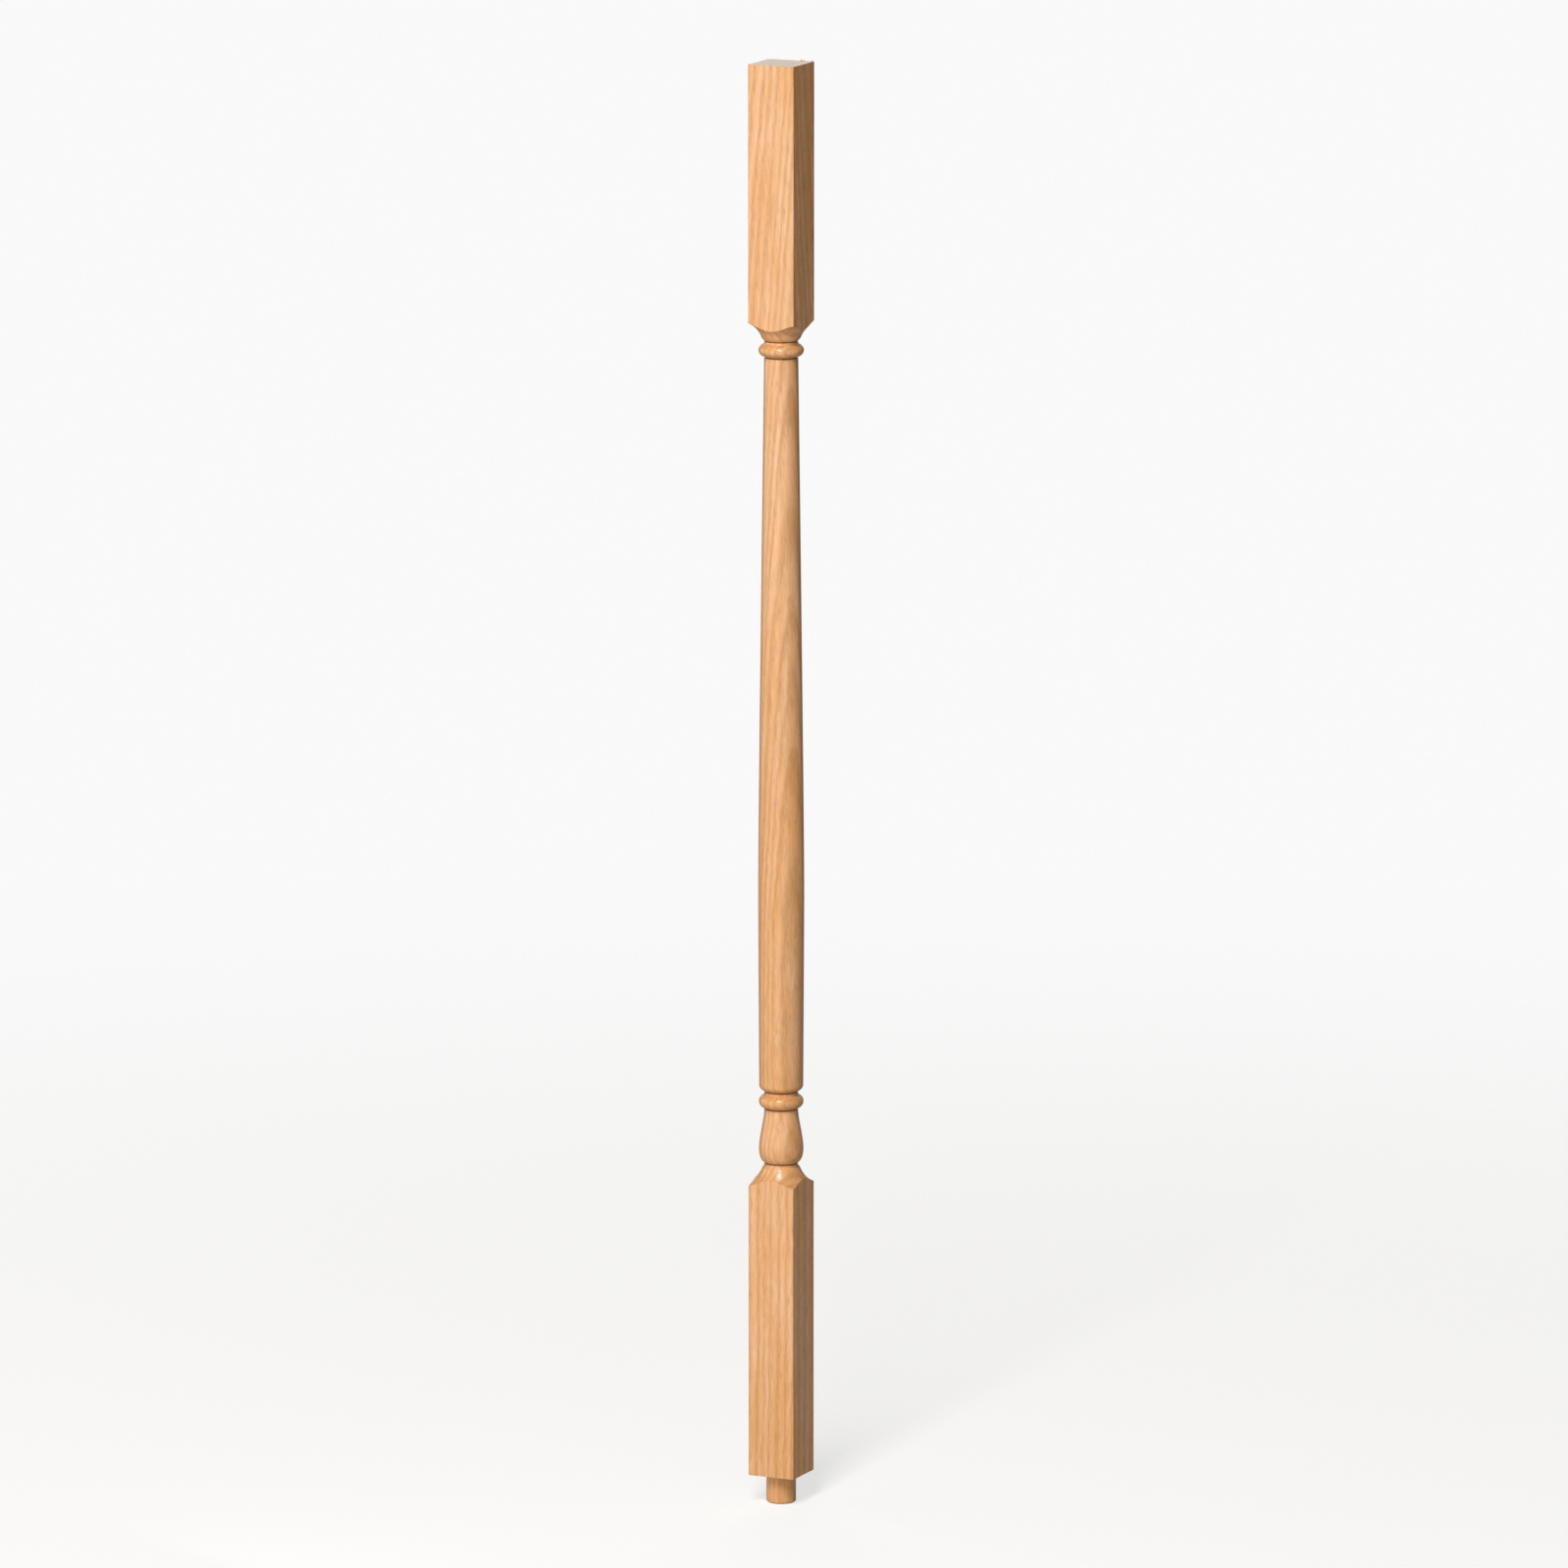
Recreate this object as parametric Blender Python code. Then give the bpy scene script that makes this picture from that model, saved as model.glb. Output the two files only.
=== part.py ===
# Stair baluster, turned from one length of square oak.
# A square block is left at each end. Between them come, from the top down, a hollow shoulder, a bead,
# a long shaft, a second bead, a vase and the shoulder of the bottom block. A round pin goes into the tread.
# Metres, +Z up. The turning axis is Z, and the origin is the centre of the pin's flat end.

import math

import bmesh
import bpy

# Blank and blocks. The block lengths are taken along an arris, where the blocks are longest.
STOCK_WIDTH = 0.03175
BODY_LENGTH = 0.9144
TOP_BLOCK_LENGTH = 0.1651
BOTTOM_BLOCK_LENGTH = 0.1905
ARRIS_EASING = 0.0005

# Pin under the bottom block
PIN_DIAMETER = 0.01905
PIN_LENGTH = 0.01905
PIN_CHAMFER = 0.0009

# Shoulders: a hollow from the arris of the block down to a small lip, then a narrow quirk.
# The hollow is how far the curve dips in from a straight slope.
UPPER_SHOULDER_HEIGHT = 0.01005
UPPER_SHOULDER_HOLLOW = 0.0016
UPPER_LIP_DIAMETER = 0.0249
LOWER_SHOULDER_HEIGHT = 0.01085
LOWER_SHOULDER_HOLLOW = 0.0016
LOWER_LIP_DIAMETER = 0.0242
LIP_HEIGHT = 0.0015
LIP_DEPTH = 0.0013

# Quirks: the sharp little grooves that part one moulding from the next
QUIRK_DIAMETER = 0.0211
UPPER_QUIRK_HEIGHT = 0.0022
LOWER_QUIRK_HEIGHT = 0.0021
FOOT_QUIRK_HEIGHT = 0.0026
QUIRK_FLOOR = 0.5

# Beads
UPPER_BEAD_HEIGHT = 0.0083
UPPER_BEAD_DIAMETER = 0.0289
LOWER_BEAD_HEIGHT = 0.0087
LOWER_BEAD_DIAMETER = 0.0286
BEAD_ROOT_DIAMETER = 0.0217
BEAD_SWEEP = math.radians(70)

# Shaft: swells from its foot to a belly, then tapers to a neck under the upper bead.
# The taper is the change of radius for each metre of height just under the neck, and it holds for
# about NECK_REACH of the way down. BELLY_REACH and FOOT_REACH keep the swelling full in the same way.
SHAFT_FOOT_DIAMETER = 0.0283
SHAFT_FOOT_ROUNDING = 0.0038
SHAFT_BELLY_DIAMETER = 0.0295
SHAFT_BELLY_HEIGHT = 0.122
SHAFT_NECK_DIAMETER = 0.0217
SHAFT_NECK_TAPER = 0.0128
NECK_REACH = 0.43
BELLY_REACH = 0.13
FOOT_REACH = 0.3
FOOT_SWEEP = math.radians(75)

# Vase between the lower bead and the bottom block
VASE_BULB_HEIGHT = 0.0087
VASE_TAPER_HEIGHT = 0.0268
VASE_DIAMETER = 0.0286
VASE_NECK_DIAMETER = 0.0217
VASE_NECK_REACH = 0.24
VASE_BULB_REACH = 0.3
VASE_SWEEP = math.radians(78)

# Fineness of the faceted solid
TURNING_SIDES = 48
SHOULDER_STEPS = 7
BEAD_STEPS = 10
ROUNDING_STEPS = 5
TAPER_STEPS = 8
SWELL_STEPS = 3
EASING_SEGMENTS = 2

# The turning profile stands this far clear of the wood where the blank is left square
CLEARANCE = 0.005

OAK_COLOUR = (0.80, 0.48, 0.27, 1.0)
OAK_ROUGHNESS = 0.5

CORNER_RADIUS = STOCK_WIDTH / 2 * math.sqrt(2)
OVERALL_LENGTH = PIN_LENGTH + BODY_LENGTH


def clear_scene():
    for item in list(bpy.data.objects):
        bpy.data.objects.remove(item)


# Profile points are (radius, height) pairs, listed from the top down.
def hollow(start, end, depth, steps):
    """Circular arc from start to end that dips towards the axis by depth."""
    chord = math.dist(start, end)
    along = ((end[0] - start[0]) / chord, (end[1] - start[1]) / chord)
    inward = (along[1], -along[0])
    radius = (chord ** 2 / 4 + depth ** 2) / (2 * depth)
    half_angle = math.asin(chord / 2 / radius)
    centre = (
        (start[0] + end[0]) / 2 - inward[0] * (radius - depth),
        (start[1] + end[1]) / 2 - inward[1] * (radius - depth),
    )
    points = []
    for i in range(steps + 1):
        angle = half_angle * (2 * i / steps - 1)
        points.append((
            centre[0] + radius * (math.cos(angle) * inward[0] + math.sin(angle) * along[0]),
            centre[1] + radius * (math.cos(angle) * inward[1] + math.sin(angle) * along[1]),
        ))
    return points


def rounding(root_radius, root_height, crest_radius, crest_height, sweep, steps):
    """Part of an ellipse from the crest, where it is upright, to the root."""
    depth = (crest_radius - root_radius) / (1 - math.cos(sweep))
    reach = (root_height - crest_height) / math.sin(sweep)
    points = []
    for i in range(steps + 1):
        angle = sweep * i / steps
        points.append((
            crest_radius - depth * (1 - math.cos(angle)),
            crest_height + reach * math.sin(angle),
        ))
    return points


def bead(top, height, diameter):
    """Half-round moulding between two roots of the same size."""
    root = BEAD_ROOT_DIAMETER / 2
    middle = top - height / 2
    half = BEAD_STEPS // 2
    upper = rounding(root, top, diameter / 2, middle, BEAD_SWEEP, half)
    lower = rounding(root, top - height, diameter / 2, middle, BEAD_SWEEP, half)
    return upper[::-1] + lower[1:]


def sweep_curve(start, start_handle, end_handle, end, steps):
    """Cubic curve from start to end through two handles."""
    points = []
    for i in range(steps + 1):
        t = i / steps
        weights = ((1 - t) ** 3, 3 * t * (1 - t) ** 2, 3 * t ** 2 * (1 - t), t ** 3)
        corners = (start, start_handle, end_handle, end)
        points.append(tuple(sum(w * c[axis] for w, c in zip(weights, corners)) for axis in (0, 1)))
    return points


def shaft(top, bottom):
    """Long shaft: neck, taper, belly and swell, down to the rounded foot."""
    neck = (SHAFT_NECK_DIAMETER / 2, top)
    foot = (SHAFT_FOOT_DIAMETER / 2, bottom + SHAFT_FOOT_ROUNDING)
    belly = (SHAFT_BELLY_DIAMETER / 2, foot[1] + SHAFT_BELLY_HEIGHT)
    taper = neck[1] - belly[1]
    neck_run = taper * NECK_REACH
    neck_handle = (neck[0] + SHAFT_NECK_TAPER * neck_run, neck[1] - neck_run)
    belly_handle = (belly[0], belly[1] + taper * BELLY_REACH)
    swell_handle = (belly[0], belly[1] - SHAFT_BELLY_HEIGHT * BELLY_REACH)
    foot_handle = (foot[0] + (belly[0] - foot[0]) * FOOT_REACH, foot[1] + SHAFT_BELLY_HEIGHT * FOOT_REACH)
    upper = sweep_curve(neck, neck_handle, belly_handle, belly, TAPER_STEPS)
    lower = sweep_curve(belly, swell_handle, foot_handle, foot, SWELL_STEPS)
    rounded = rounding(QUIRK_DIAMETER / 2, bottom, foot[0], foot[1], FOOT_SWEEP, ROUNDING_STEPS)
    return upper + lower[1:] + rounded[1:]


def vase(top, bottom):
    """Vase turned neck up: a slender neck that swells to a low, round bulb."""
    bulb = (VASE_DIAMETER / 2, bottom + VASE_BULB_HEIGHT)
    neck = (VASE_NECK_DIAMETER / 2, top)
    neck_handle = (neck[0], top - VASE_TAPER_HEIGHT * VASE_NECK_REACH)
    bulb_handle = (bulb[0], bulb[1] + VASE_TAPER_HEIGHT * VASE_BULB_REACH)
    upper = sweep_curve(neck, neck_handle, bulb_handle, bulb, TAPER_STEPS)
    lower = rounding(QUIRK_DIAMETER / 2, bottom, bulb[0], bulb[1], VASE_SWEEP, ROUNDING_STEPS)
    return upper + lower[1:]


def turning_profile():
    """The whole outline of the turning, from the axis at the top to the axis at the pin's end."""
    clear_radius = CORNER_RADIUS + CLEARANCE
    quirk = QUIRK_DIAMETER / 2

    # Heights worked down from the top block
    upper_tip = OVERALL_LENGTH - TOP_BLOCK_LENGTH
    upper_lip = (UPPER_LIP_DIAMETER / 2, upper_tip - UPPER_SHOULDER_HEIGHT)
    upper_quirk_top = upper_lip[1] - LIP_HEIGHT
    upper_bead_top = upper_quirk_top - UPPER_QUIRK_HEIGHT
    neck_top = upper_bead_top - UPPER_BEAD_HEIGHT

    # Heights worked up from the bottom block
    lower_tip = PIN_LENGTH + BOTTOM_BLOCK_LENGTH
    lower_lip = (LOWER_LIP_DIAMETER / 2, lower_tip + LOWER_SHOULDER_HEIGHT)
    lower_quirk_bottom = lower_lip[1] + LIP_HEIGHT
    vase_bottom = lower_quirk_bottom + LOWER_QUIRK_HEIGHT
    vase_top = vase_bottom + VASE_BULB_HEIGHT + VASE_TAPER_HEIGHT
    lower_bead_top = vase_top + LOWER_BEAD_HEIGHT
    shaft_bottom = lower_bead_top + FOOT_QUIRK_HEIGHT

    points = [(0, OVERALL_LENGTH + CLEARANCE), (clear_radius, OVERALL_LENGTH + CLEARANCE)]
    points.append((clear_radius, upper_tip))
    points += hollow((CORNER_RADIUS, upper_tip), upper_lip, UPPER_SHOULDER_HOLLOW, SHOULDER_STEPS)
    points.append((upper_lip[0] - LIP_DEPTH, upper_quirk_top))
    points.append((quirk, upper_bead_top + UPPER_QUIRK_HEIGHT * QUIRK_FLOOR))
    points += bead(upper_bead_top, UPPER_BEAD_HEIGHT, UPPER_BEAD_DIAMETER)
    points += shaft(neck_top, shaft_bottom)
    points += bead(lower_bead_top, LOWER_BEAD_HEIGHT, LOWER_BEAD_DIAMETER)
    points += vase(vase_top, vase_bottom)
    points.append((quirk, vase_bottom - LOWER_QUIRK_HEIGHT * QUIRK_FLOOR))
    points.append((lower_lip[0] - LIP_DEPTH, lower_quirk_bottom))
    points += hollow(lower_lip, (CORNER_RADIUS, lower_tip), LOWER_SHOULDER_HOLLOW, SHOULDER_STEPS)
    points.append((clear_radius, lower_tip))
    points.append((clear_radius, PIN_LENGTH))
    points.append((PIN_DIAMETER / 2, PIN_LENGTH))
    points.append((PIN_DIAMETER / 2, PIN_CHAMFER))
    points.append((PIN_DIAMETER / 2 - PIN_CHAMFER, 0))
    points.append((0, 0))
    return points


def square_blank():
    """The square length of timber, its four long arrises eased. It runs a little past the pin's end."""
    mesh = bpy.data.meshes.new("baluster")
    shape = bmesh.new()
    bmesh.ops.create_cube(shape, size=STOCK_WIDTH)
    for vertex in shape.verts:
        vertex.co.z = OVERALL_LENGTH if vertex.co.z > 0 else -CLEARANCE
    arrises = [edge for edge in shape.edges if edge.verts[0].co.z != edge.verts[1].co.z]
    bmesh.ops.bevel(
        shape, geom=arrises, offset=ARRIS_EASING, offset_type="OFFSET",
        segments=EASING_SEGMENTS, profile=0.5, affect="EDGES",
    )
    shape.to_mesh(mesh)
    shape.free()
    blank = bpy.data.objects.new("baluster", mesh)
    bpy.context.collection.objects.link(blank)
    return blank


def turned_form():
    """The profile spun about the axis, used to cut the blank."""
    points = turning_profile()
    mesh = bpy.data.meshes.new("turned_form")
    vertices = [(radius, 0, height) for radius, height in points]
    edges = [(i, i + 1) for i in range(len(points) - 1)]
    mesh.from_pydata(vertices, edges, [])
    form = bpy.data.objects.new("turned_form", mesh)
    bpy.context.collection.objects.link(form)
    spin = form.modifiers.new("spin", "SCREW")
    spin.axis = "Z"
    spin.angle = 2 * math.pi
    spin.steps = TURNING_SIDES
    spin.render_steps = TURNING_SIDES
    spin.use_merge_vertices = True
    spin.merge_threshold = 0.00001
    form.hide_render = True
    form.display_type = "WIRE"
    return form


def oak():
    material = bpy.data.materials.new("red_oak")
    material.use_nodes = True
    shader = material.node_tree.nodes["Principled BSDF"]
    shader.inputs["Base Color"].default_value = OAK_COLOUR
    shader.inputs["Roughness"].default_value = OAK_ROUGHNESS
    shader.inputs["Metallic"].default_value = 0.0
    return material


def baluster():
    """What the blank and the turned form have in common: the wood that the turner leaves."""
    wood = square_blank()
    form = turned_form()
    turning = wood.modifiers.new("turning", "BOOLEAN")
    turning.operation = "INTERSECT"
    turning.solver = "EXACT"
    turning.object = form
    evaluated = wood.evaluated_get(bpy.context.evaluated_depsgraph_get())
    finished = bpy.data.meshes.new_from_object(evaluated)
    wood.modifiers.clear()
    wood.data = finished
    bpy.data.objects.remove(form)
    finished.shade_smooth()
    finished.set_sharp_from_angle(angle=math.radians(25))
    finished.materials.clear()
    finished.materials.append(oak())
    return wood


clear_scene()
baluster()
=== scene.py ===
import math

import bmesh
import bpy
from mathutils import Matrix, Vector


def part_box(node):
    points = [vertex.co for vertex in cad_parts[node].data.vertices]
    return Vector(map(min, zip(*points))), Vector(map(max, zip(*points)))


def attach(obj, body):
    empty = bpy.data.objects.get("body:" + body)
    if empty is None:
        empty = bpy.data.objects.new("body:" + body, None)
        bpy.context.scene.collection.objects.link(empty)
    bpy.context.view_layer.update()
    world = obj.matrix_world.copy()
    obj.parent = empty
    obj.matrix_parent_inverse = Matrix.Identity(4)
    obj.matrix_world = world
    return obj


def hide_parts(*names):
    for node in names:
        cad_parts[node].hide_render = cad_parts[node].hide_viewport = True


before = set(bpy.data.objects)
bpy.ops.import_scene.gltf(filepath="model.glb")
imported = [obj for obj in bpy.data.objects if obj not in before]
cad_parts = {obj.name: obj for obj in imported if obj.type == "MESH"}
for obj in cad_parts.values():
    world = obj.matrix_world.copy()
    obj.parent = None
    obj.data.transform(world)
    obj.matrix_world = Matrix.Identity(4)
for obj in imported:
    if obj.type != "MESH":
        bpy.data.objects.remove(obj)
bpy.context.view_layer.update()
lowEnd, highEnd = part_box("baluster")
stockWidth = highEnd.x - lowEnd.x
print("frame loaded:", sorted(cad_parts))

millimetre = 0.001

viewpoint = {
    "azimuth": 24.9,       # degrees from square on to the front face, towards the right one
    "pitch": 10.4,         # degrees down
    "distance": 8.0,
    "sensorWidth": 36,     # mm
    "lens": 287.7,         # mm
    "reach": 200,          # as far as the camera sees
    "aimHeight": 0.4703,
    "aimAside": 0.0018,
}


# a direction in the room, from degrees round the baluster and degrees up
def direction(azimuth, elevation):
    turn = math.radians(azimuth)
    rise = math.radians(elevation)
    return Vector((math.sin(turn) * math.cos(rise), -math.cos(turn) * math.cos(rise), math.sin(rise)))


def clearSelection():
    if bpy.context.object and bpy.context.object.mode != "OBJECT":
        bpy.ops.object.mode_set(mode="OBJECT")
    bpy.ops.object.select_all(action="DESELECT")


def addCamera():
    clearSelection()
    turn = math.radians(viewpoint["azimuth"])
    aside = Vector((math.cos(turn), math.sin(turn), 0)) * viewpoint["aimAside"]
    aim = aside + Vector((0, 0, viewpoint["aimHeight"]))
    back = direction(viewpoint["azimuth"], viewpoint["pitch"])
    bpy.ops.object.camera_add(location=aim + back * viewpoint["distance"])
    camera = bpy.context.object
    camera.rotation_euler = (-back).to_track_quat("-Z", "Y").to_euler()
    camera.data.sensor_width = viewpoint["sensorWidth"]
    camera.data.lens = viewpoint["lens"]
    camera.data.clip_end = viewpoint["reach"]
    bpy.context.scene.camera = camera


addCamera()
print("camera placed")


# selects the corners, edges or faces of the mesh being edited that pass the test
def selectWhere(kind, test):
    bpy.ops.mesh.select_mode(type=kind)
    bpy.ops.mesh.select_all(action="DESELECT")
    shape = bmesh.from_edit_mesh(bpy.context.object.data)
    for part in {"VERT": shape.verts, "EDGE": shape.edges, "FACE": shape.faces}[kind]:
        part.select = test(part)
    shape.select_flush_mode()
    bmesh.update_edit_mesh(bpy.context.object.data)


blank = {
    "arrisEasing": 0.5 * millimetre,
    "arrisSegments": 4,
    "spare": 5 * millimetre,     # how far it runs past the pin's end, to be turned away
    "topBlock": 165.1 * millimetre,
    "bottomBlock": 190.5 * millimetre,
}

# torn fibres that the saw left standing on the back edge of the top end, in mm
burrs = [
    {"x": 6.9, "width": 1.3, "depth": 0.45, "height": 1.1},
    {"x": 8.6, "width": 0.8, "depth": 0.4, "height": 0.6},
    {"x": 14.4, "width": 1.2, "depth": 0.5, "height": 0.7},
]
burrTip = {
    "across": 0.12,              # the tip's width and depth as shares of the root's
    "deep": 0.3,
    "aside": 0.2 * millimetre,   # how far the tip leans
}


# whether a face is flat, looks up and lies at the top end
def isTopEnd(face):
    return face.normal.z > 0.99 and face.calc_center_median().z > highEnd.z - millimetre


def squareBlank():
    clearSelection()
    bottom = lowEnd.z - blank["spare"]
    bpy.ops.mesh.primitive_cube_add(size=1, location=(0, 0, (highEnd.z + bottom) / 2))
    wood = bpy.context.object
    wood.name = "redOakBaluster"
    wood.scale = (stockWidth, stockWidth, highEnd.z - bottom)
    bpy.ops.object.transform_apply(location=True, rotation=True, scale=True)
    bpy.ops.object.mode_set(mode="EDIT")
    selectWhere("EDGE", lambda edge: abs(edge.verts[0].co.z - edge.verts[1].co.z) > stockWidth)
    bpy.ops.mesh.bevel(
        offset_type="OFFSET", offset=blank["arrisEasing"],
        segments=blank["arrisSegments"], profile=0.5, affect="EDGES",
    )
    bpy.ops.object.mode_set(mode="OBJECT")
    return wood


# cuts a small patch out of the top end beside its back edge, and draws it up to a ragged tip
def raiseBurr(burr):
    x, width, depth, height = (burr[name] * millimetre for name in ("x", "width", "depth", "height"))
    top = highEnd.z
    front = highEnd.y - depth
    patch = Vector((x, highEnd.y - depth / 2, top))
    near = 0.2 * millimetre
    bpy.ops.object.mode_set(mode="EDIT")
    for place, across in (
        ((x - width / 2, 0, top), (1, 0, 0)),
        ((x + width / 2, 0, top), (1, 0, 0)),
        ((0, front, top), (0, 1, 0)),
    ):
        selectWhere("FACE", isTopEnd)
        bpy.ops.mesh.bisect(plane_co=place, plane_no=across)
    selectWhere("FACE", lambda face: isTopEnd(face) and (face.calc_center_median() - patch).length < near)
    tip = patch + Vector((burrTip["aside"], 0, height))
    bpy.ops.mesh.extrude_region_move(TRANSFORM_OT_translate={"value": (0, 0, height)})
    bpy.ops.transform.resize(value=(burrTip["across"], burrTip["deep"], 1), center_override=tip)
    bpy.ops.object.mode_set(mode="OBJECT")


# An outline is a list of (radius, height) points, from the top down.
curveSteps = {
    "hollow": 20,
    "rounding": 14,
    "shaftTaper": 48,
    "shaftBelly": 18,
    "vase": 24,
}


# an arc that dips towards the axis by the given depth
def hollow(start, end, depth):
    chord = math.dist(start, end)
    along = ((end[0] - start[0]) / chord, (end[1] - start[1]) / chord)
    inward = (along[1], -along[0])
    radius = (chord ** 2 / 4 + depth ** 2) / (2 * depth)
    halfAngle = math.asin(chord / 2 / radius)
    centre = [(start[i] + end[i]) / 2 - inward[i] * (radius - depth) for i in (0, 1)]
    steps = curveSteps["hollow"]
    points = []
    for step in range(steps + 1):
        angle = halfAngle * (2 * step / steps - 1)
        points.append(tuple(
            centre[i] + radius * (math.cos(angle) * inward[i] + math.sin(angle) * along[i]) for i in (0, 1)
        ))
    return points


# part of an ellipse, upright at the crest, that curls in to the root
def rounding(root, crest, sweep):
    depth = (crest[0] - root[0]) / (1 - math.cos(sweep))
    reach = (root[1] - crest[1]) / math.sin(sweep)
    steps = curveSteps["rounding"]
    points = []
    for step in range(steps + 1):
        angle = sweep * step / steps
        points.append((crest[0] - depth * (1 - math.cos(angle)), crest[1] + reach * math.sin(angle)))
    return points


# one smooth cubic curve, drawn by its two ends and two handles
def sweepCurve(start, startHandle, endHandle, end, steps):
    points = []
    for step in range(steps + 1):
        t = step / steps
        weights = ((1 - t) ** 3, 3 * t * (1 - t) ** 2, 3 * t ** 2 * (1 - t), t ** 3)
        corners = (start, startHandle, endHandle, end)
        points.append(tuple(sum(w * c[i] for w, c in zip(weights, corners)) for i in (0, 1)))
    return points


shoulders = {
    "upperHeight": 10.05 * millimetre,
    "upperLip": 24.9 * millimetre,
    "lowerHeight": 10.85 * millimetre,
    "lowerLip": 24.2 * millimetre,
    "hollow": 1.6 * millimetre,
    "lipHeight": 1.5 * millimetre,
    "lipDepth": 1.3 * millimetre,
}

quirks = {
    "diameter": 21.7 * millimetre,
    "upper": 2.2 * millimetre,
    "lower": 2.1 * millimetre,
    "foot": 2.6 * millimetre,
    "cutDepth": 1.2 * millimetre,    # the small V that the tool's corner leaves under an overhang
    "cutHeight": 1.0 * millimetre,
}

beads = {
    "upperHeight": 8.3 * millimetre,
    "upperDiameter": 28.9 * millimetre,
    "lowerHeight": 8.7 * millimetre,
    "lowerDiameter": 28.6 * millimetre,
    "root": 21.7 * millimetre,
    "upperSweep": math.radians(66),
    "lowerSweep": math.radians(80),
}


# an overhang's last step back to the neck below it
def toolCut(radius, top):
    return [
        (radius - quirks["cutDepth"], top - quirks["cutHeight"] / 2),
        (radius, top - quirks["cutHeight"]),
    ]


def bead(top, height, diameter):
    root = beads["root"] / 2
    crest = (diameter / 2, top - height / 2)
    upper = rounding((root, top), crest, beads["upperSweep"])
    lower = rounding((root, top - height), crest, beads["lowerSweep"])
    return upper[::-1] + lower[1:] + toolCut(root, top - height)


shaft = {
    "footDiameter": 28.3 * millimetre,
    "footRounding": 3.8 * millimetre,
    "bellyDiameter": 29.5 * millimetre,
    "bellyHeight": 122 * millimetre,
    "neckDiameter": 21.7 * millimetre,
    "neckTaper": 0.0128,         # change of radius per height just under the neck
    "neckReach": 0.43,            # shares of each run over which its end holds its direction
    "bellyReach": 0.13,
    "footReach": 0.3,
    "footSweep": math.radians(80),
}


def shaftOutline(top, bottom):
    neck = (shaft["neckDiameter"] / 2, top)
    foot = (shaft["footDiameter"] / 2, bottom + shaft["footRounding"])
    belly = (shaft["bellyDiameter"] / 2, foot[1] + shaft["bellyHeight"])
    taper = neck[1] - belly[1]
    neckRun = taper * shaft["neckReach"]
    neckHandle = (neck[0] + shaft["neckTaper"] * neckRun, neck[1] - neckRun)
    bellyHandle = (belly[0], belly[1] + taper * shaft["bellyReach"])
    swellHandle = (belly[0], belly[1] - shaft["bellyHeight"] * shaft["bellyReach"])
    footHandle = (
        foot[0] + (belly[0] - foot[0]) * shaft["footReach"],
        foot[1] + shaft["bellyHeight"] * shaft["footReach"],
    )
    upper = sweepCurve(neck, neckHandle, bellyHandle, belly, curveSteps["shaftTaper"])
    lower = sweepCurve(belly, swellHandle, footHandle, foot, curveSteps["shaftBelly"])
    root = quirks["diameter"] / 2
    rounded = rounding((root, bottom), foot, shaft["footSweep"])
    return upper + lower[1:] + rounded[1:] + toolCut(root, bottom)


vase = {
    "bulbHeight": 8.7 * millimetre,
    "taperHeight": 26.8 * millimetre,
    "diameter": 28.6 * millimetre,
    "neckDiameter": 21.7 * millimetre,
    "neckReach": 0.24,
    "bulbReach": 0.3,
    "sweep": math.radians(83),
}


def vaseOutline(top, bottom):
    neck = (vase["neckDiameter"] / 2, top)
    bulb = (vase["diameter"] / 2, bottom + vase["bulbHeight"])
    taper = top - bulb[1]
    neckHandle = (neck[0], top - taper * vase["neckReach"])
    bulbHandle = (bulb[0], bulb[1] + taper * vase["bulbReach"])
    upper = sweepCurve(neck, neckHandle, bulbHandle, bulb, curveSteps["vase"])
    root = quirks["diameter"] / 2
    lower = rounding((root, bottom), bulb, vase["sweep"])
    return upper + lower[1:] + toolCut(root, bottom)


pin = {
    "diameter": 19.05 * millimetre,
    "length": 19.05 * millimetre,
    "chamfer": 0.9 * millimetre,
}


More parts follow.
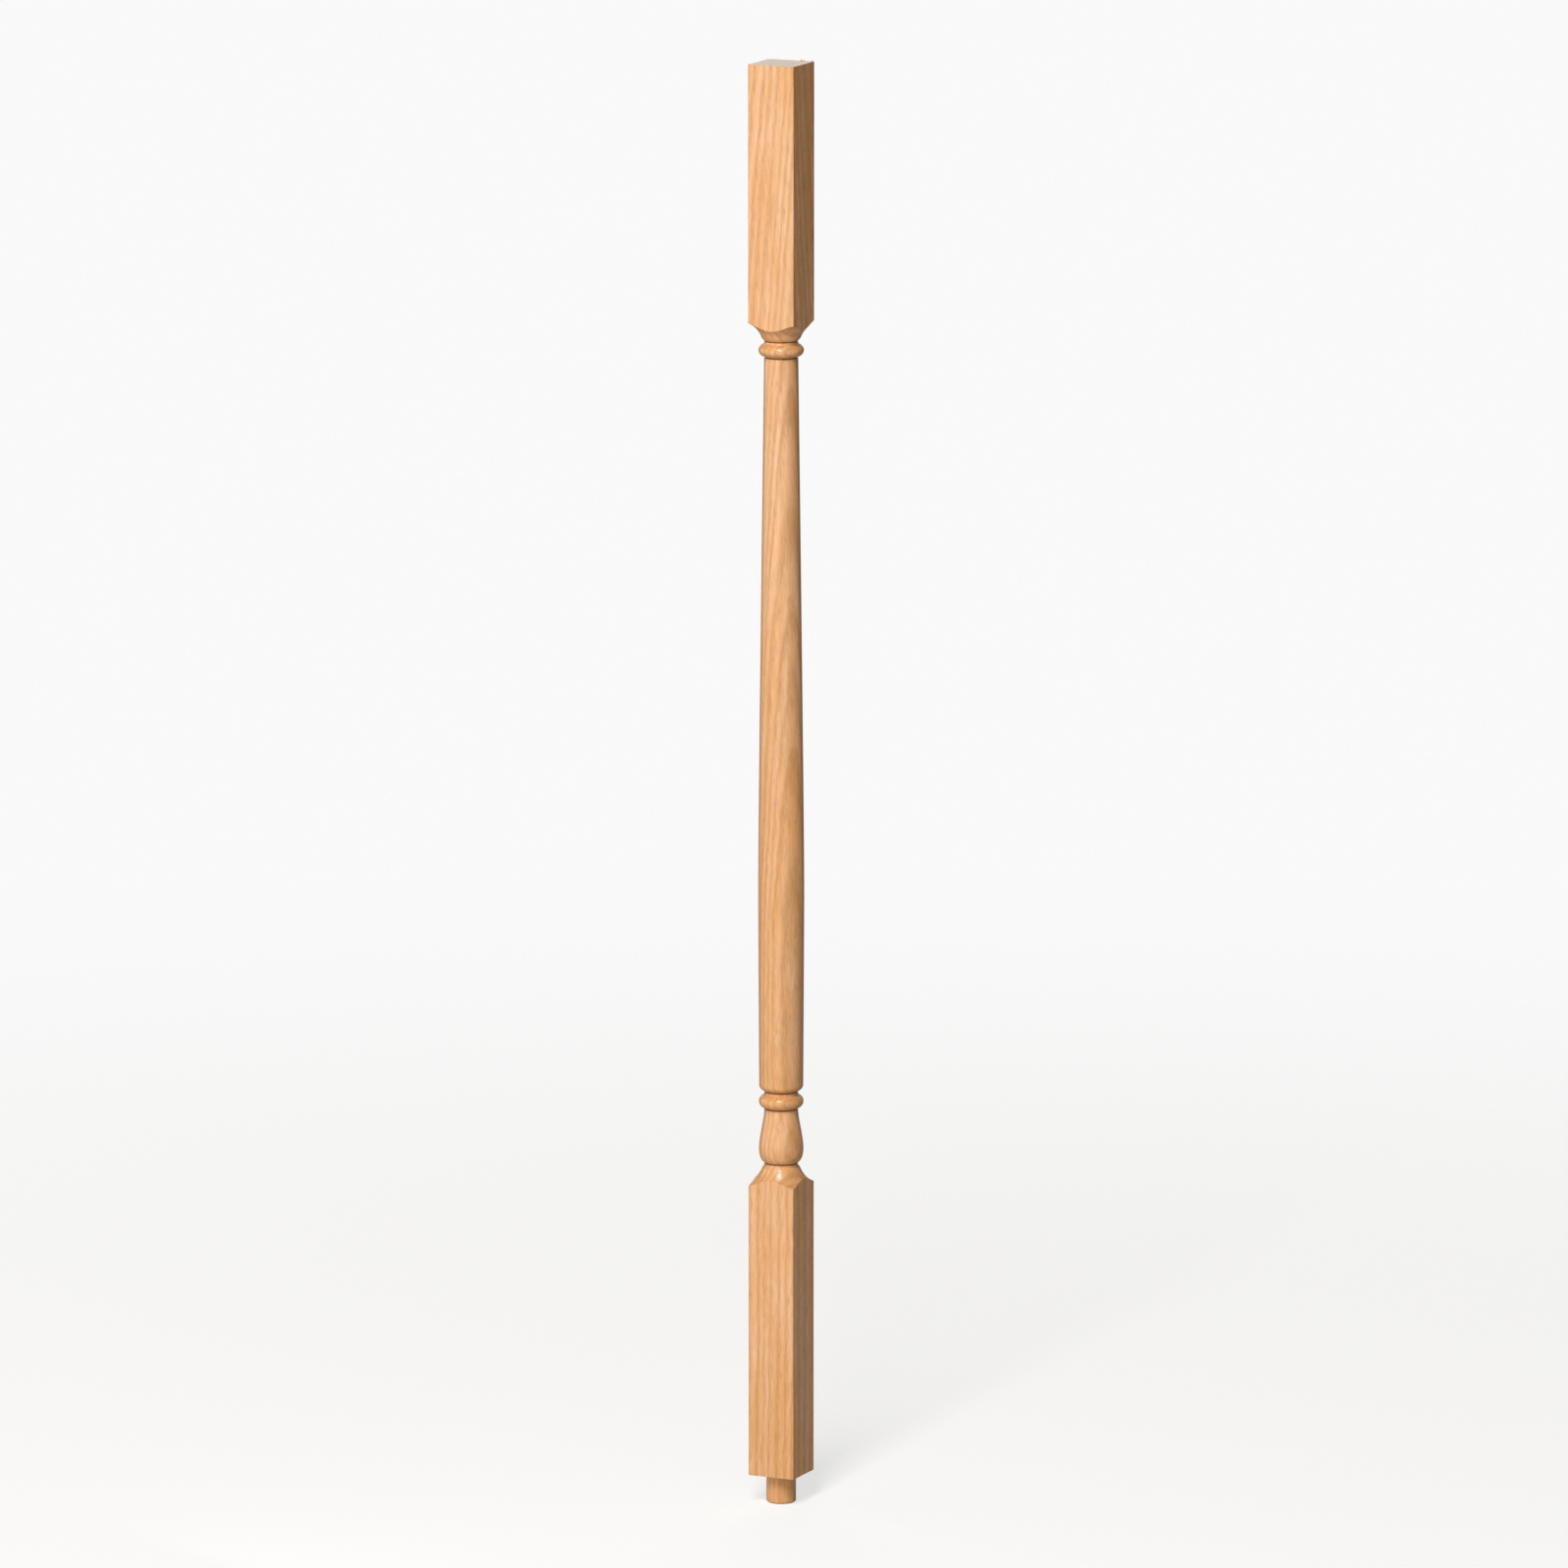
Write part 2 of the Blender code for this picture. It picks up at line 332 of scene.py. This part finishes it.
def turningOutline():
    cornerRadius = stockWidth / 2 * math.sqrt(2)
    clear = cornerRadius + blank["spare"]
    quirk = quirks["diameter"] / 2

    # worked down from the top block
    upperTip = highEnd.z - blank["topBlock"]
    upperLip = (shoulders["upperLip"] / 2, upperTip - shoulders["upperHeight"])
    upperQuirk = upperLip[1] - shoulders["lipHeight"]
    upperBead = upperQuirk - quirks["upper"]
    neck = upperBead - beads["upperHeight"]

    # worked up from the bottom block
    blockFoot = lowEnd.z + pin["length"]
    lowerTip = blockFoot + blank["bottomBlock"]
    lowerLip = (shoulders["lowerLip"] / 2, lowerTip + shoulders["lowerHeight"])
    lowerQuirk = lowerLip[1] + shoulders["lipHeight"]
    vaseFoot = lowerQuirk + quirks["lower"]
    vaseTop = vaseFoot + vase["bulbHeight"] + vase["taperHeight"]
    lowerBead = vaseTop + beads["lowerHeight"]
    shaftFoot = lowerBead + quirks["foot"]

    pinRadius = pin["diameter"] / 2
    overTop = highEnd.z + blank["spare"]
    outline = [(0, overTop), (clear, overTop), (clear, upperTip)]
    outline += hollow((cornerRadius, upperTip), upperLip, shoulders["hollow"])
    outline.append((upperLip[0] - shoulders["lipDepth"], upperQuirk))
    outline += toolCut(quirk, upperQuirk)
    outline += bead(upperBead, beads["upperHeight"], beads["upperDiameter"])
    outline += shaftOutline(neck - quirks["cutHeight"], shaftFoot)
    outline += bead(lowerBead, beads["lowerHeight"], beads["lowerDiameter"])
    outline += vaseOutline(vaseTop - quirks["cutHeight"], vaseFoot)
    outline.append((lowerLip[0] - shoulders["lipDepth"], lowerQuirk))
    outline += hollow(lowerLip, (cornerRadius, lowerTip), shoulders["hollow"])
    outline += [(clear, lowerTip), (clear, blockFoot), (pinRadius, blockFoot)]
    outline += [(pinRadius, lowEnd.z + pin["chamfer"]), (pinRadius - pin["chamfer"], lowEnd.z), (0, lowEnd.z)]
    return outline


turning = {
    "sides": 176,
    "weld": 0.002 * millimetre,
    "smoothUpTo": math.radians(30),
}


# a plane is merged to one corner, the outline is drawn on from it point by point, and spun about the axis
def turnedForm(outline):
    clearSelection()
    bpy.ops.mesh.primitive_plane_add(size=millimetre, location=(outline[0][0], 0, outline[0][1]))
    form = bpy.context.object
    bpy.ops.object.transform_apply(location=True, rotation=True, scale=True)
    bpy.ops.object.mode_set(mode="EDIT")
    bpy.ops.mesh.select_mode(type="VERT")
    bpy.ops.mesh.select_all(action="SELECT")
    bpy.ops.mesh.merge(type="CENTER")
    for here, there in zip(outline, outline[1:]):
        stride = (there[0] - here[0], 0, there[1] - here[1])
        bpy.ops.mesh.extrude_vertices_move(TRANSFORM_OT_translate={"value": stride})
    bpy.ops.mesh.select_all(action="SELECT")
    bpy.ops.mesh.spin(steps=turning["sides"], angle=2 * math.pi, center=(0, 0, 0), axis=(0, 0, 1))
    bpy.ops.mesh.select_all(action="SELECT")
    bpy.ops.mesh.remove_doubles(threshold=turning["weld"])
    bpy.ops.mesh.select_all(action="SELECT")
    bpy.ops.mesh.normals_make_consistent(inside=False)
    bpy.ops.object.mode_set(mode="OBJECT")
    return form


# the blank keeps what lies inside the turned form, as it does on the lathe
def turnedBaluster():
    wood = squareBlank()
    form = turnedForm(turningOutline())
    clearSelection()
    wood.select_set(True)
    bpy.context.view_layer.objects.active = wood
    lathe = wood.modifiers.new("lathe", "BOOLEAN")
    lathe.operation = "INTERSECT"
    lathe.solver = "EXACT"
    lathe.object = form
    bpy.ops.object.modifier_apply(modifier="lathe")
    bpy.data.objects.remove(form)
    for burr in burrs:
        raiseBurr(burr)
    bpy.ops.object.shade_smooth_by_angle(angle=turning["smoothUpTo"])
    weighting = wood.modifiers.new("weighting", "WEIGHTED_NORMAL")
    weighting.keep_sharp = True
    bpy.ops.object.modifier_apply(modifier="weighting")
    return wood


baluster = turnedBaluster()
print("baluster turned:", len(baluster.data.polygons), "faces")


def toLinear(hexColour):
    channels = [int(hexColour[i:i + 2], 16) / 255 for i in (1, 3, 5)]
    return [c / 12.92 if c <= 0.04045 else ((c + 0.055) / 1.055) ** 2.4 for c in channels] + [1]


# adds a node, sets its options, and sets or joins its sockets
def addNode(tree, kind, options=None, sockets=None):
    node = tree.nodes.new(kind)
    for name, value in (options or {}).items():
        setattr(node, name, value)
    for name, value in (sockets or {}).items():
        if isinstance(value, bpy.types.NodeSocket):
            tree.links.new(value, node.inputs[name])
        else:
            node.inputs[name].default_value = value
    return node


# node settings that are used often
times = {"operation": "MULTIPLY"}
timesPlus = {"operation": "MULTIPLY_ADD"}
minus = {"operation": "SUBTRACT"}
dividedBy = {"operation": "DIVIDE"}
lengthOf = {"operation": "LENGTH"}
isAbove = {"operation": "GREATER_THAN"}
smoothStep = {"interpolation_type": "SMOOTHSTEP"}
inColour = {"data_type": "RGBA"}


# Red oak is ring porous: each year starts with a band of open pores, seen as a darker coarse streak, and
# ends in smooth pale latewood. Its rays show as short dark dashes. The rings cross this stick at a slant,
# so that they run as streaks down all four faces. It is turned and sanded smooth, which gives it a thin
# satin sheen, and only its top end is as sawn, and paler.
redOak = {
    "pinkLatewood": "#F0BA90",
    "tanLatewood": "#E7B27C",
    "orangeLatewood": "#E6A96E",
    "earlywood": "#C88D52",
    "ray": "#BC8452",
    "pore": "#A36E3E",
    "crossGrain": "#CD8C50",
    # painted shade: a dark brown laid into the tool's cuts, where shade falls
    "paintedCutShade": "#7E5A3A",
    "sawnEnd": "#F0D6BF",
    # the most that each one covers of what lies under it
    "earlywoodShare": 0.68,
    "rayShare": 0.25,
    "poreShare": 0.26,
    "crossGrainShare": 0.35,
    "paintedCutShadeShare": 0.4,
    "sawnEndShare": 0.7,
    "fibreLightness": (0.92, 1.08),
    "roughness": 0.24,
    "poreRoughness": 0.15,       # what a pore and a fibre add to it
    "fibreRoughness": 0.08,
    "faintestYear": 0.6,         # how strong its earlywood is, against the strongest year's
    "onset": 0.32,               # shares of the year at which the earlywood is full, and gone
    "fade": 0.85,
    "latewoodPores": 0.2,        # how strong they are, against the earlywood's
    "raysHidden": 0.5,
    # sizes in mm from here on
    "pith": (-110, 69, 0),       # the tree's centre, off behind the left face
    "ringWidth": 4.1,            # from one year to the next
    "slowYears": 9,              # depth of a run of wide or narrow years, and how far it moves a ring
    "slowYearsReach": 3.0,
    "fray": 1.1,                 # how far the fibres fray a ring's edge
    "lean": 0.06,                # how far the rings lean over in each mm of height
    "leanStart": 380,            # the height at which they begin to, and how far each side of it they ease in
    "leanEasing": 150,
    # width, height and reach of each wave of the grain
    "waves": ((50, 160, 5.0), (10, 30, 1.8), (4, 10, 1.4)),
    "fibreWidth": 1.0,
    "fibreLength": 12,
    # from pore to pore. A true pore is 0.3 wide, too fine to show, and is drawn at 0.5
    "poreWidth": 0.9,
    "poreLength": 9,
    "rayGap": 1.6,
    "rayDepth": 22,
    "rayHeight": 13,
    "tanPatch": (3, 30),         # width and height
    "orangePatch": (14, 80),
    # the tool's cuts lie nearer to the axis than this, and the painted shade in them deepens over this depth
    "cutRadius": quirks["diameter"] / 2 / millimetre - 0.05,
    "cutDepth": 0.5,
    "relief": 0.05,              # depth of the open pores
}


# the grain wanders: slowly along the stick, and again in two sizes of small wave
def wanderingGrain(tree, place):
    grain = place
    for width, height, reach in redOak["waves"]:
        stretched = addNode(
            tree, "ShaderNodeVectorMath", times, {0: place, 1: (1 / width, 1 / width, 1 / height)},
        ).outputs[0]
        noise = addNode(tree, "ShaderNodeTexNoise", {}, {"Vector": stretched, "Scale": 1, "Detail": 1})
        offset = addNode(
            tree, "ShaderNodeVectorMath", minus, {0: noise.outputs["Color"], 1: (0.5, 0.5, 0.5)},
        ).outputs[0]
        grain = addNode(
            tree, "ShaderNodeVectorMath", timesPlus, {0: offset, 1: (reach, reach, 0), 2: grain},
        ).outputs[0]
    return grain


# fibres, much longer than they are wide
def fineFibres(tree, grain):
    width = redOak["fibreWidth"]
    stretched = addNode(
        tree, "ShaderNodeVectorMath", times,
        {0: grain, 1: (1 / width, 1 / width, 1 / redOak["fibreLength"])},
    ).outputs[0]
    noise = addNode(tree, "ShaderNodeTexNoise", {}, {"Vector": stretched, "Scale": 1, "Detail": 3})
    return noise.outputs["Fac"]


# the share of earlywood: it starts sharply at each year's edge and fades into latewood
def growthRings(tree, radius, height, fibre):
    rise = addNode(tree, "ShaderNodeMath", minus, {0: height, 1: redOak["leanStart"]}).outputs[0]
    rise = addNode(
        tree, "ShaderNodeMath", {"operation": "SMOOTH_MAX"}, {0: rise, 1: 0, 2: redOak["leanEasing"]},
    ).outputs[0]
    depth = addNode(tree, "ShaderNodeMath", timesPlus, {0: rise, 1: -redOak["lean"], 2: radius}).outputs[0]

    # some years are wide and some narrow, and fibres fray the edge of each
    slow = addNode(
        tree, "ShaderNodeTexNoise", {"noise_dimensions": "1D"},
        {"W": depth, "Scale": 1 / redOak["slowYears"], "Detail": 1},
    ).outputs["Fac"]
    depth = addNode(
        tree, "ShaderNodeMath", timesPlus, {0: slow, 1: redOak["slowYearsReach"], 2: depth},
    ).outputs[0]
    depth = addNode(tree, "ShaderNodeMath", timesPlus, {0: fibre, 1: redOak["fray"], 2: depth}).outputs[0]
    year = addNode(tree, "ShaderNodeMath", dividedBy, {0: depth, 1: redOak["ringWidth"]}).outputs[0]
    season = addNode(tree, "ShaderNodeMath", {"operation": "FRACT"}, {0: year}).outputs[0]
    number = addNode(tree, "ShaderNodeMath", {"operation": "FLOOR"}, {0: year}).outputs[0]
    chance = addNode(tree, "ShaderNodeTexWhiteNoise", {"noise_dimensions": "1D"}, {"W": number})
    strength = addNode(
        tree, "ShaderNodeMapRange", {},
        {"Value": chance.outputs["Value"], "To Min": redOak["faintestYear"], "To Max": 1},
    ).outputs[0]
    onset = addNode(
        tree, "ShaderNodeMapRange", smoothStep, {"Value": season, "From Min": 0, "From Max": redOak["onset"]},
    ).outputs[0]
    fade = addNode(
        tree, "ShaderNodeMapRange", smoothStep,
        {"Value": season, "From Min": redOak["onset"], "From Max": redOak["fade"], "To Min": 1, "To Max": 0},
    ).outputs[0]
    band = addNode(tree, "ShaderNodeMath", times, {0: onset, 1: fade}).outputs[0]
    return addNode(tree, "ShaderNodeMath", times, {0: band, 1: strength}).outputs[0]


# pores: long thin cells, strong in the earlywood and faint in the latewood
def openPores(tree, grain, earlywood):
    width = redOak["poreWidth"]
    stretched = addNode(
        tree, "ShaderNodeVectorMath", times,
        {0: grain, 1: (1 / width, 1 / width, 1 / redOak["poreLength"])},
    ).outputs[0]
    cell = addNode(tree, "ShaderNodeTexVoronoi", {}, {"Vector": stretched, "Scale": 1})
    shape = addNode(
        tree, "ShaderNodeMapRange", smoothStep,
        {"Value": cell.outputs["Distance"], "From Min": 0.15, "From Max": 0.45, "To Min": 1, "To Max": 0},
    ).outputs[0]
    strength = addNode(
        tree, "ShaderNodeMapRange", {}, {"Value": earlywood, "To Min": redOak["latewoodPores"], "To Max": 1},
    ).outputs[0]
    return addNode(tree, "ShaderNodeMath", times, {0: shape, 1: strength}).outputs[0]


# rays: thin upright plates that point away from the pith, of which only some are seen
def rayPlates(tree, fromPith, radius):
    turn = addNode(
        tree, "ShaderNodeMath", {"operation": "ARCTAN2"}, {0: fromPith.outputs[0], 1: fromPith.outputs[1]},
    ).outputs[0]
    toGap = math.hypot(*redOak["pith"]) / redOak["rayGap"]
    aside = addNode(tree, "ShaderNodeMath", times, {0: turn, 1: toGap}).outputs[0]
    inward = addNode(tree, "ShaderNodeMath", dividedBy, {0: radius, 1: redOak["rayDepth"]}).outputs[0]
    upward = addNode(
        tree, "ShaderNodeMath", dividedBy, {0: fromPith.outputs[2], 1: redOak["rayHeight"]},
    ).outputs[0]
    place = addNode(tree, "ShaderNodeCombineXYZ", {}, {0: aside, 1: inward, 2: upward}).outputs[0]
    cell = addNode(tree, "ShaderNodeTexVoronoi", {}, {"Vector": place, "Scale": 1})
    shape = addNode(
        tree, "ShaderNodeMapRange", smoothStep,
        {"Value": cell.outputs["Distance"], "From Min": 0.1, "From Max": 0.26, "To Min": 1, "To Max": 0},
    ).outputs[0]
    chance = addNode(tree, "ShaderNodeSeparateColor", {}, {0: cell.outputs["Color"]}).outputs[0]
    seen = addNode(tree, "ShaderNodeMath", isAbove, {0: chance, 1: redOak["raysHidden"]}).outputs[0]
    return addNode(tree, "ShaderNodeMath", times, {0: shape, 1: seen}).outputs[0]


# painted shade in the tool's cuts, darker towards the axis. The pin is slimmer still, and is left out by its
# height
def paintedShadeInCuts(tree, place):
    section = addNode(tree, "ShaderNodeVectorMath", times, {0: place, 1: (1, 1, 0)}).outputs[0]
    fromAxis = addNode(tree, "ShaderNodeVectorMath", lengthOf, {0: section}).outputs["Value"]
    edge = redOak["cutRadius"]
    inCut = addNode(
        tree, "ShaderNodeMapRange", {},
        {"Value": fromAxis, "From Min": edge, "From Max": edge - redOak["cutDepth"]},
    ).outputs[0]
    height = addNode(tree, "ShaderNodeSeparateXYZ", {}, {0: place}).outputs[2]
    overPin = (pin["length"] + millimetre) / millimetre
    abovePin = addNode(tree, "ShaderNodeMath", isAbove, {0: height, 1: overPin}).outputs[0]
    return addNode(tree, "ShaderNodeMath", times, {0: inCut, 1: abovePin}).outputs[0]


# latewood drifts between pink, tan and orange, in fine streaks and in broad ones
def latewoodColour(tree, grain):
    colour = addNode(tree, "ShaderNodeRGB").outputs[0]
    colour.default_value = toLinear(redOak["pinkLatewood"])
    for shade, (width, height) in (
        ("tanLatewood", redOak["tanPatch"]),
        ("orangeLatewood", redOak["orangePatch"]),
    ):
        stretched = addNode(
            tree, "ShaderNodeVectorMath", times, {0: grain, 1: (1 / width, 1 / width, 1 / height)},
        ).outputs[0]
        noise = addNode(tree, "ShaderNodeTexNoise", {}, {"Vector": stretched, "Scale": 1, "Detail": 3})
        patches = addNode(
            tree, "ShaderNodeMapRange", {},
            {"Value": noise.outputs["Fac"], "From Min": 0.35, "From Max": 0.65},
        ).outputs[0]
        colour = addNode(
            tree, "ShaderNodeMix", inColour, {0: patches, 6: colour, 7: toLinear(redOak[shade])},
        ).outputs[2]
    return colour


def redOakTurnedAndSanded():
    material = bpy.data.materials.new("redOakTurnedAndSanded")
    material.use_nodes = True
    tree = material.node_tree
    shader = tree.nodes["Principled BSDF"]
    coordinates = addNode(tree, "ShaderNodeTexCoord")
    place = addNode(
        tree, "ShaderNodeVectorMath", {"operation": "SCALE"},
        {0: coordinates.outputs["Object"], "Scale": 1 / millimetre},
    ).outputs[0]
    grain = wanderingGrain(tree, place)
    fibre = fineFibres(tree, grain)

    away = addNode(tree, "ShaderNodeVectorMath", minus, {0: grain, 1: redOak["pith"]}).outputs[0]
    fromPith = addNode(tree, "ShaderNodeSeparateXYZ", {}, {0: away})
    level = addNode(
        tree, "ShaderNodeCombineXYZ", {}, {0: fromPith.outputs[0], 1: fromPith.outputs[1]},
    ).outputs[0]
    radius = addNode(tree, "ShaderNodeVectorMath", lengthOf, {0: level}).outputs["Value"]
    earlywood = growthRings(tree, radius, fromPith.outputs[2], fibre)
    pore = openPores(tree, grain, earlywood)

    # how squarely the surface cuts across the grain: not at all on the blocks' sides, and fully at the ends
    facing = addNode(tree, "ShaderNodeSeparateXYZ", {}, {0: coordinates.outputs["Normal"]}).outputs[2]
    facing = addNode(tree, "ShaderNodeMath", {"operation": "ABSOLUTE"}, {0: facing}).outputs[0]
    crossGrain = addNode(
        tree, "ShaderNodeMapRange", smoothStep, {"Value": facing, "From Min": 0.25, "From Max": 1},
    ).outputs[0]
    sawnEnd = addNode(
        tree, "ShaderNodeMapRange", {}, {"Value": facing, "From Min": 0.96, "From Max": 0.99},
    ).outputs[0]

    colour = latewoodColour(tree, grain)
    for shade, amount in (
        ("earlywood", earlywood),
        ("ray", rayPlates(tree, fromPith, radius)),
        ("pore", pore),
        ("crossGrain", crossGrain),
        # painted shade in the tool's cuts
        ("paintedCutShade", paintedShadeInCuts(tree, place)),
        ("sawnEnd", sawnEnd),
    ):
        share = addNode(tree, "ShaderNodeMath", times, {0: amount, 1: redOak[shade + "Share"]}).outputs[0]
        colour = addNode(
            tree, "ShaderNodeMix", inColour, {0: share, 6: colour, 7: toLinear(redOak[shade])},
        ).outputs[2]
    darkest, lightest = redOak["fibreLightness"]
    lightness = addNode(
        tree, "ShaderNodeMapRange", {},
        {"Value": fibre, "From Min": 0.3, "From Max": 0.7, "To Min": darkest, "To Max": lightest},
    ).outputs[0]
    colour = addNode(tree, "ShaderNodeHueSaturation", {}, {"Color": colour, "Value": lightness}).outputs[0]
    tree.links.new(colour, shader.inputs["Base Color"])

    dullness = addNode(
        tree, "ShaderNodeMath", timesPlus, {0: pore, 1: redOak["poreRoughness"], 2: redOak["roughness"]},
    ).outputs[0]
    dullness = addNode(
        tree, "ShaderNodeMath", timesPlus, {0: fibre, 1: redOak["fibreRoughness"], 2: dullness},
    ).outputs[0]
    tree.links.new(dullness, shader.inputs["Roughness"])

    # the fibres stand a quarter as high as the pores are deep
    surface = addNode(tree, "ShaderNodeMath", timesPlus, {0: fibre, 1: 0.25, 2: 1}).outputs[0]
    surface = addNode(tree, "ShaderNodeMath", minus, {0: surface, 1: pore}).outputs[0]
    bump = addNode(
        tree, "ShaderNodeBump", {},
        {"Height": surface, "Distance": redOak["relief"] * millimetre, "Strength": 0.8},
    ).outputs[0]
    tree.links.new(bump, shader.inputs["Normal"])
    return material


baluster.data.materials.clear()
baluster.data.materials.append(redOakTurnedAndSanded())
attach(baluster, "root")
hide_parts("baluster")
print("red oak laid on")


studio = {
    "floor": "#A8A6A2",
    "floorSize": 60,             # m
    "nearGlow": 0.66,            # the floor's glow to the camera near the wood, over what the lamps give it
    "farGlow": 0.95,             # and far from the wood, where only the glow is seen
    "glowReach": (0.3, 2.2),     # m from the wood, between which the one passes into the other
    "roomGlow": 0.95,
    "roomLight": 0,              # what the room itself adds to the light on the wood
    # azimuth and elevation in degrees round the baluster, distance, width and height in m, power in W
    "lights": {
        "keyFront": (4, 0, 3.5, 1.8, 0.8, 18),
        "bankFront": (-28, 0, 3.0, 1.5, 0.8, 8.5),
        "bankLeft": (-75, 6, 3.0, 3.2, 1.6, 25),
        "bankRight": (48, 3, 3.0, 1.6, 1.4, 14),
        "boxHigh": (12, 46, 5.0, 1.3, 2.1, 198),
        "bankBack": (-150, 40, 3.0, 1.5, 1.5, 8),
        "cardBehind": (-155, 12, 4.0, 4.0, 1.4, 18),
        "cardLow": (-25, -42, 0.6, 0.3, 0.1, 0.16),
    },
}


# pale to the camera, but darker to every other ray, so that the shaded side of the wood keeps its depth
def cameraSees(tree, seen, other):
    path = addNode(tree, "ShaderNodeLightPath")
    return addNode(
        tree, "ShaderNodeMixShader", {}, {0: path.outputs["Is Camera Ray"], 1: other, 2: seen},
    ).outputs[0]


# only its paint sends light to the wood. The glow hides its far edge and leaves a faint shadow at the foot
def palePaintedFloor():
    material = bpy.data.materials.new("palePaintedFloor")
    material.use_nodes = True
    tree = material.node_tree
    tree.nodes.clear()
    place = addNode(tree, "ShaderNodeTexCoord").outputs["Object"]
    away = addNode(tree, "ShaderNodeVectorMath", lengthOf, {0: place}).outputs["Value"]
    near, far = studio["glowReach"]
    share = addNode(
        tree, "ShaderNodeMapRange", smoothStep, {"Value": away, "From Min": near, "From Max": far},
    ).outputs[0]
    paint = addNode(tree, "ShaderNodeBsdfDiffuse", {}, {"Color": toLinear(studio["floor"])}).outputs[0]
    nearGlow = addNode(tree, "ShaderNodeEmission", {}, {"Strength": studio["nearGlow"]}).outputs[0]
    farGlow = addNode(tree, "ShaderNodeEmission", {}, {"Strength": studio["farGlow"]}).outputs[0]
    lit = addNode(tree, "ShaderNodeAddShader", {}, {0: nearGlow, 1: paint}).outputs[0]
    seen = addNode(tree, "ShaderNodeMixShader", {}, {0: share, 1: lit, 2: farGlow}).outputs[0]
    addNode(tree, "ShaderNodeOutputMaterial", {}, {"Surface": cameraSees(tree, seen, paint)})
    return material


def paleRoom():
    world = bpy.data.worlds.new("paleRoom")
    world.use_nodes = True
    tree = world.node_tree
    tree.nodes.clear()
    white = {"Color": (1, 1, 1, 1)}
    seen = addNode(tree, "ShaderNodeBackground", {}, white | {"Strength": studio["roomGlow"]}).outputs[0]
    other = addNode(tree, "ShaderNodeBackground", {}, white | {"Strength": studio["roomLight"]}).outputs[0]
    addNode(tree, "ShaderNodeOutputWorld", {}, {"Surface": cameraSees(tree, seen, other)})
    return world


def addLamp(name, azimuth, elevation, distance, width, height, power):
    clearSelection()
    aim = Vector((0, 0, viewpoint["aimHeight"]))
    out = direction(azimuth, elevation)
    bpy.ops.object.light_add(type="AREA", location=aim + out * distance)
    lamp = bpy.context.object
    lamp.name = name
    lamp.rotation_euler = (-out).to_track_quat("-Z", "Y").to_euler()
    lamp.data.shape = "RECTANGLE"
    lamp.data.size = width
    lamp.data.size_y = height
    lamp.data.energy = power
    # or it would stand in the pictures taken from behind the baluster
    lamp.visible_camera = False


def addStudio():
    clearSelection()
    bpy.ops.mesh.primitive_plane_add(size=studio["floorSize"], location=(0, 0, 0))
    floor = bpy.context.object
    floor.name = "paleFloor"
    floor.data.materials.append(palePaintedFloor())
    bpy.context.scene.world = paleRoom()
    for name, settings in studio["lights"].items():
        addLamp(name, *settings)


addStudio()
bpy.context.scene.view_settings.view_transform = "Standard"
print("studio lit")
